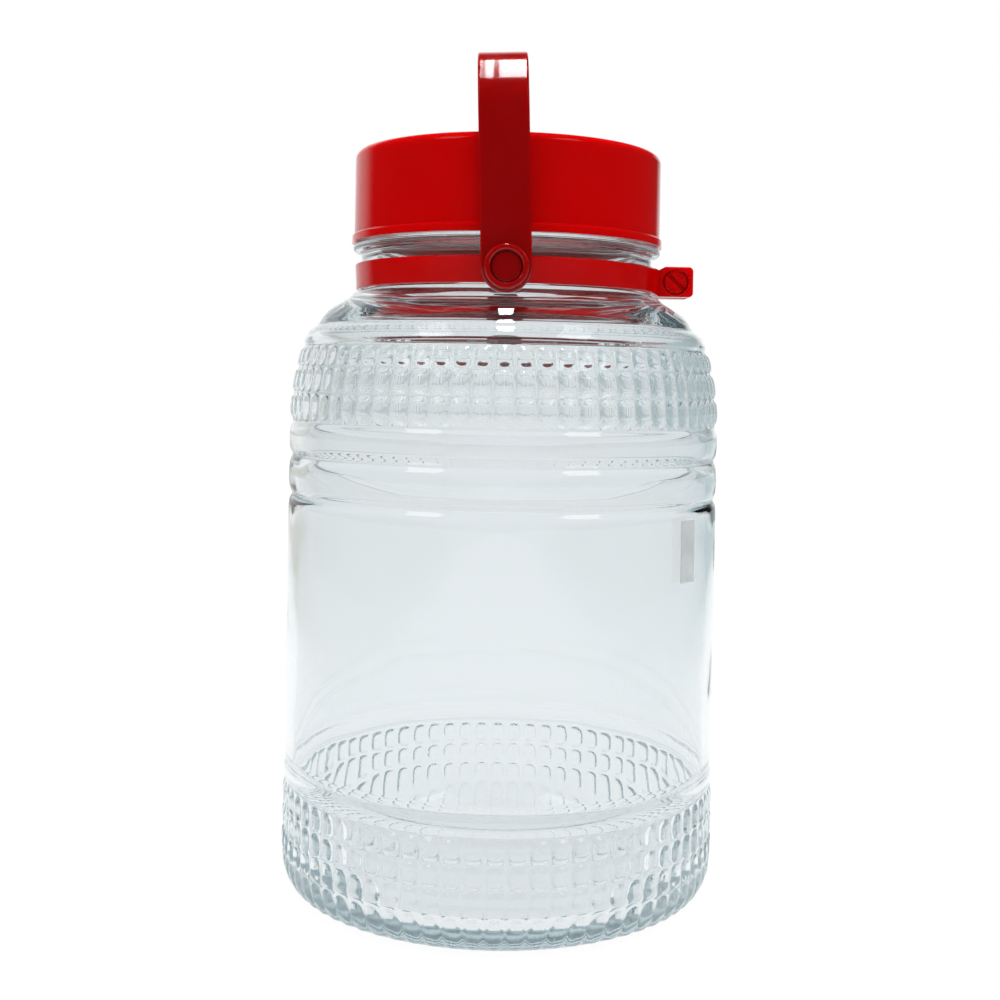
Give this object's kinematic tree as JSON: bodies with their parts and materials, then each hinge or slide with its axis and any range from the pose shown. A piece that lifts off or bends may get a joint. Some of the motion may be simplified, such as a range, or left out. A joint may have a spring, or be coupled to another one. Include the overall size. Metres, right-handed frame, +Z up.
{
  "type": "glass storage jar",
  "caption": "Wide-mouthed clear glass jar with patterned belts, a screw lid over a plug, a clamped neck band and a swinging bail handle.",
  "frame": {"origin": "centre of the jar's underside, on the jar's axis, at the level that it stands on", "axes": "+Z up along the jar's axis, +X through the clamp's ears and screw, +Y from the front handle pivot to the rear one"},
  "size_m": [0.2006, 0.2006, 0.3767],
  "materials": {
    "glass": "clear pressed glass, fire-polished",
    "red_plastic": "glossy moulded polypropylene",
    "handle_plastic": "glossy moulded polypropylene, slightly translucent",
    "white_plastic": "soft satin polyethylene",
    "seal_rubber": "soft matt silicone",
    "sticker": "plain satin film"
  },
  "bodies": {
    "jar": {"jar_body": "glass", "neck_band": "red_plastic", "clamp_nut": "white_plastic", "pivot_rivet_front": "handle_plastic", "pivot_rivet_rear": "handle_plastic", "label_sticker": "sticker"},
    "seal": {"inner_lid": "white_plastic", "sealing_gasket": "seal_rubber"},
    "lid": {"screw_lid": "red_plastic"},
    "handle": {"handle": "handle_plastic"},
    "clamp_screw": {"clamp_screw": "red_plastic"}
  },
  "joints": [
    {"name": "lid_lift", "type": "slide", "parent": "jar", "child": "seal", "axis": [0, 0, 1], "range_m": [0, 0.017]},
    {"name": "lid_turn", "type": "hinge", "parent": "seal", "child": "lid", "pos_m": [0, 0, 0.297], "axis": [0, 0, 1], "range_deg": [0, 765]},
    {"name": "handle_swing", "type": "hinge", "parent": "jar", "child": "handle", "pos_m": [0, 0, 0.2811], "axis": [0, 1, 0], "range_deg": [-93, 97]},
    {"name": "clamp_screw_turn", "type": "hinge", "parent": "jar", "child": "clamp_screw", "pos_m": [0.079, 0, 0.2815], "axis": [0, 1, 0], "continuous": true}
  ],
  "couplings": [
    {"joint": "lid_lift", "follows": "lid_turn", "m_per_rad": 0.0012732}
  ]
}
